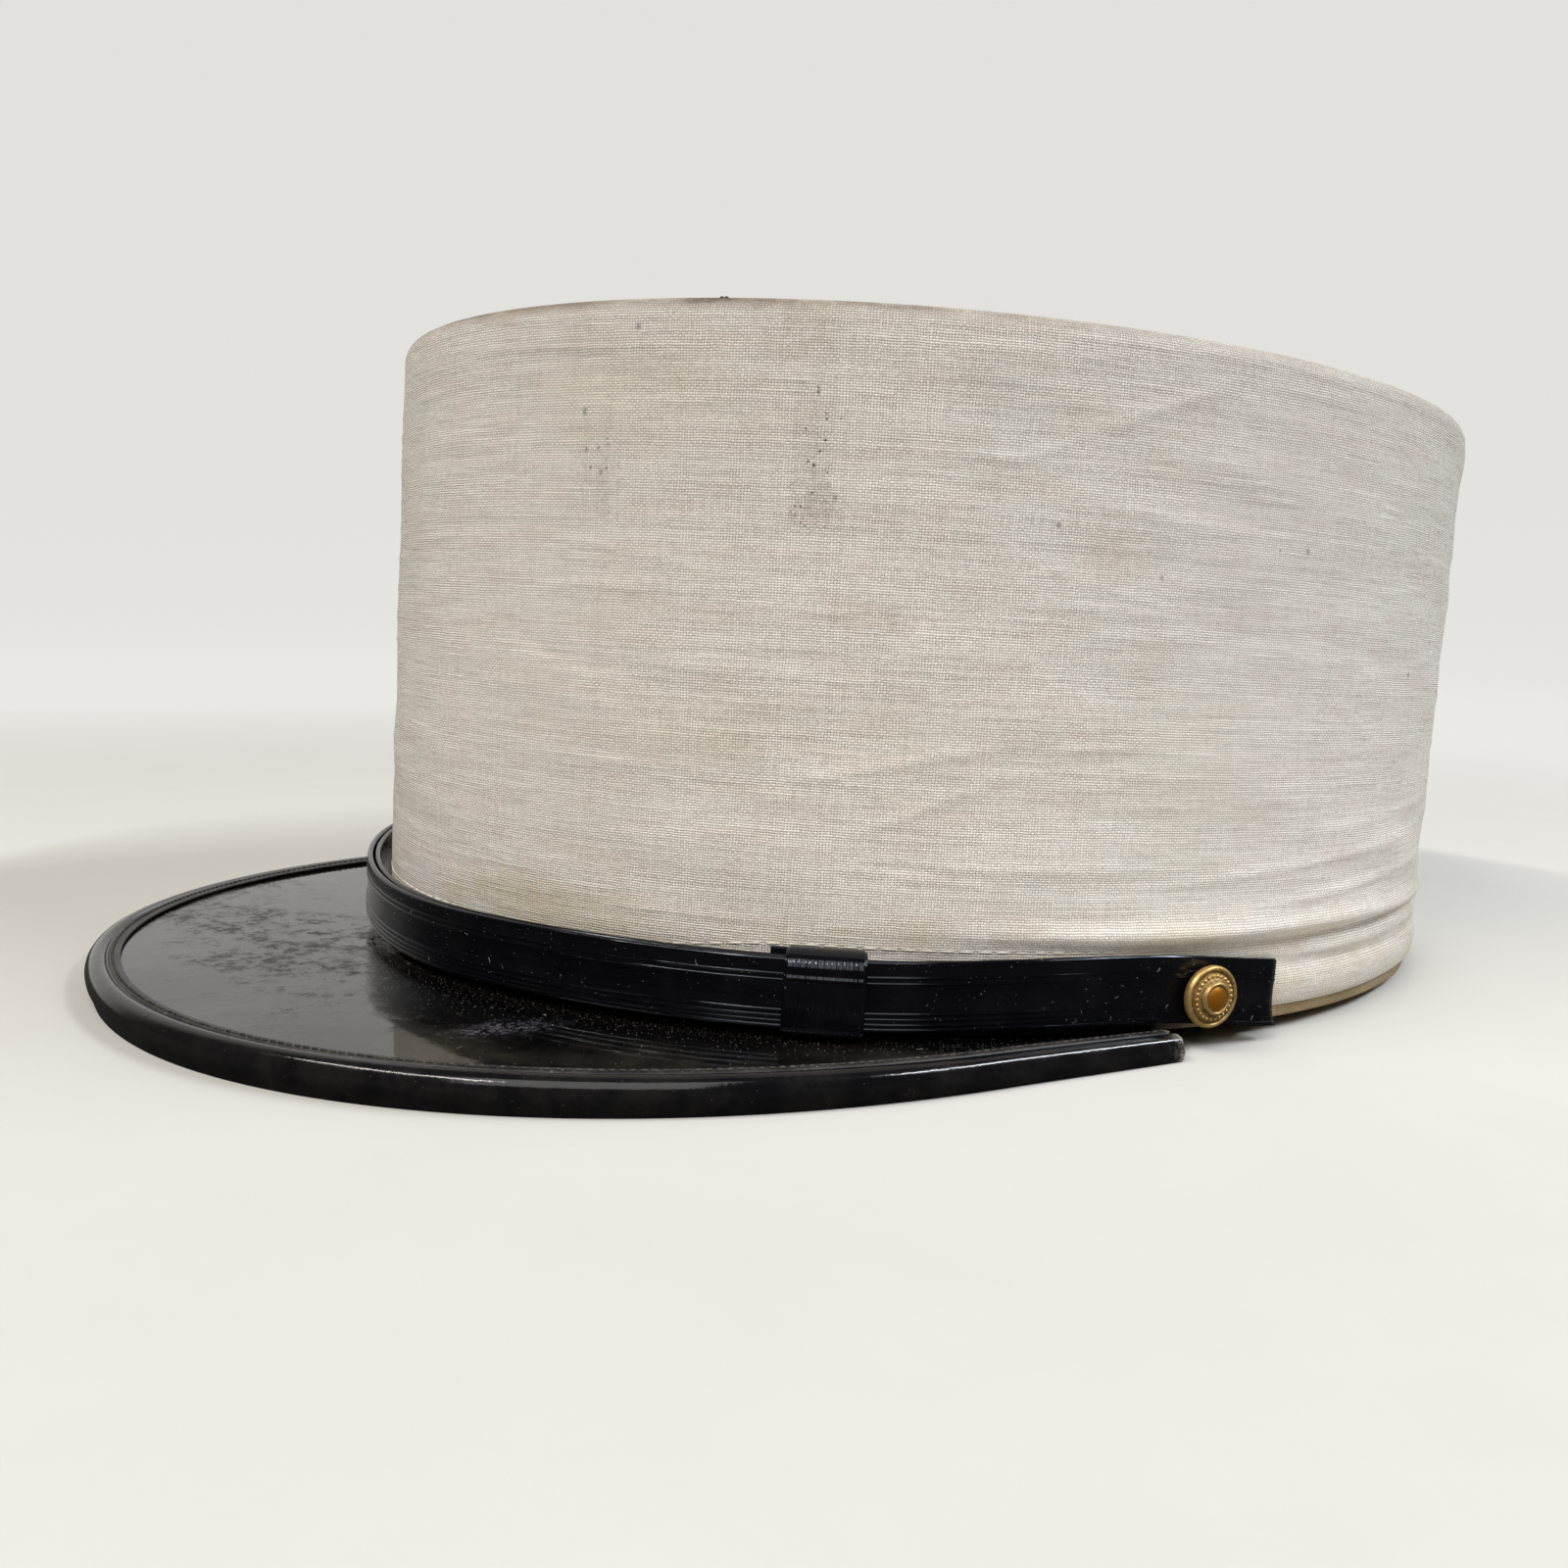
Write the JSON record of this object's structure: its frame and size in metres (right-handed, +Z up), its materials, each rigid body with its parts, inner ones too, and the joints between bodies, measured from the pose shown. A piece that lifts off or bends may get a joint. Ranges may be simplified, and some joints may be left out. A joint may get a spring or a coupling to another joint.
{
  "type": "kepi",
  "caption": "Stiff cylindrical kepi with a white cotton crown, flat black visor with a glossy bead, black chin strap over the visor and brass side buttons.",
  "frame": {"origin": "on the resting surface, at the middle of the hat's box seen from above", "axes": "+Z up, -Y to the front of the hat, +X to the wearer's left"},
  "size_m": [0.1844, 0.2552, 0.1055],
  "materials": {
    "white_cotton": "plain-weave cotton with slubs, soiled at the rim and above the strap",
    "tan_cotton": "plain tan cotton band, faded",
    "black_visor": "glossy black patent leather, dusty and scuffed",
    "black_bead": "glossy black vinyl bead, sewn",
    "black_strap": "glossy black vinyl with fine lengthwise lines",
    "aged_brass": "aged brass with a raised rim and rings"
  },
  "bodies": {
    "root": {"crown_side": "white_cotton", "crown_top": "white_cotton", "inner_band": "tan_cotton", "visor": "black_visor", "visor_binding": "black_bead", "chin_strap_left": "black_strap", "chin_strap_right": "black_strap", "strap_slide_left": "black_strap", "strap_slide_right": "black_strap", "button_left": "aged_brass", "button_right": "aged_brass"}
  },
  "joints": []
}
